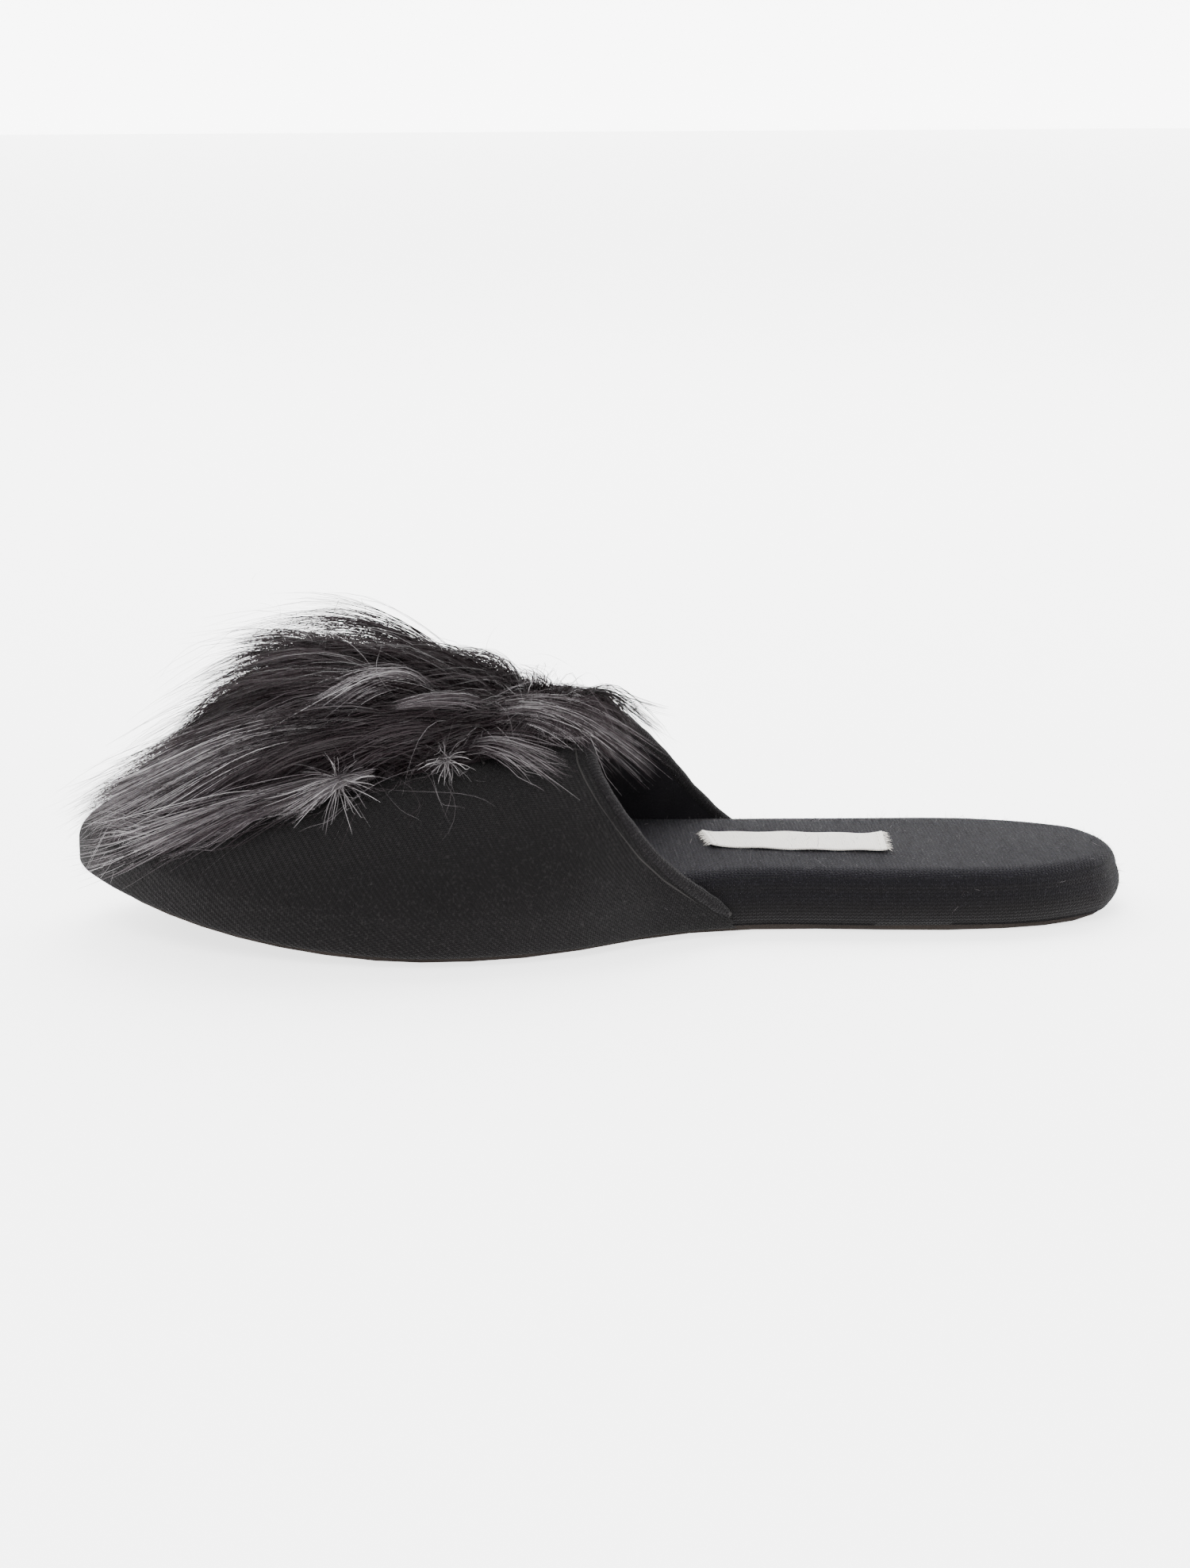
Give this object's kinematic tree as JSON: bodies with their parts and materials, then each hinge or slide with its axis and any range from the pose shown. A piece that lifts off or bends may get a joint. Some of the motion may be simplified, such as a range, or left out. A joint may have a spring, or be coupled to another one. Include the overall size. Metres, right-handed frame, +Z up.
{
  "type": "fluffy house slipper",
  "caption": "Backless padded house slipper with a knitted vamp, corded topline and a strip of long fur along the top of the vamp.",
  "frame": {"origin": "on the ground, under the middle of the slipper's length and width", "axes": "+Z up, +Y from toe to heel along the slipper's length, +X to the wearer's left (the outer side of this left slipper)"},
  "size_m": [0.0923, 0.2605, 0.078],
  "materials": {
    "suede": "matt suede",
    "felt": "matt felt",
    "board": "matt fibreboard",
    "foam": "matt soft foam",
    "footbed_knit": "fine navy-black melange knit",
    "vamp_knit": "fine black knit, slightly fuzzy",
    "lining": "matt black jersey",
    "binding": "rolled black knit",
    "cord": "twisted cotton cord",
    "fur_base": "matt knitted backing",
    "fur": "long silky hair, brown-black with silver locks",
    "thread": "waxed black thread",
    "label": "cream satin weave",
    "label_thread": "cream thread"
  },
  "bodies": {
    "root": {"outsole": "suede", "bottom_filler": "felt", "insole_board": "board", "base_foam": "foam", "top_foam": "foam", "footbed_cover": "footbed_knit", "vamp_knit": "vamp_knit", "vamp_interlining": "felt", "toe_puff": "board", "vamp_lining": "lining", "topline_binding": "binding", "piping_cord": "cord", "fur_backing": "fur_base", "fur_pile": "fur", "fur_stitches": "thread", "woven_label": "label", "label_stitches": "label_thread"}
  },
  "joints": []
}
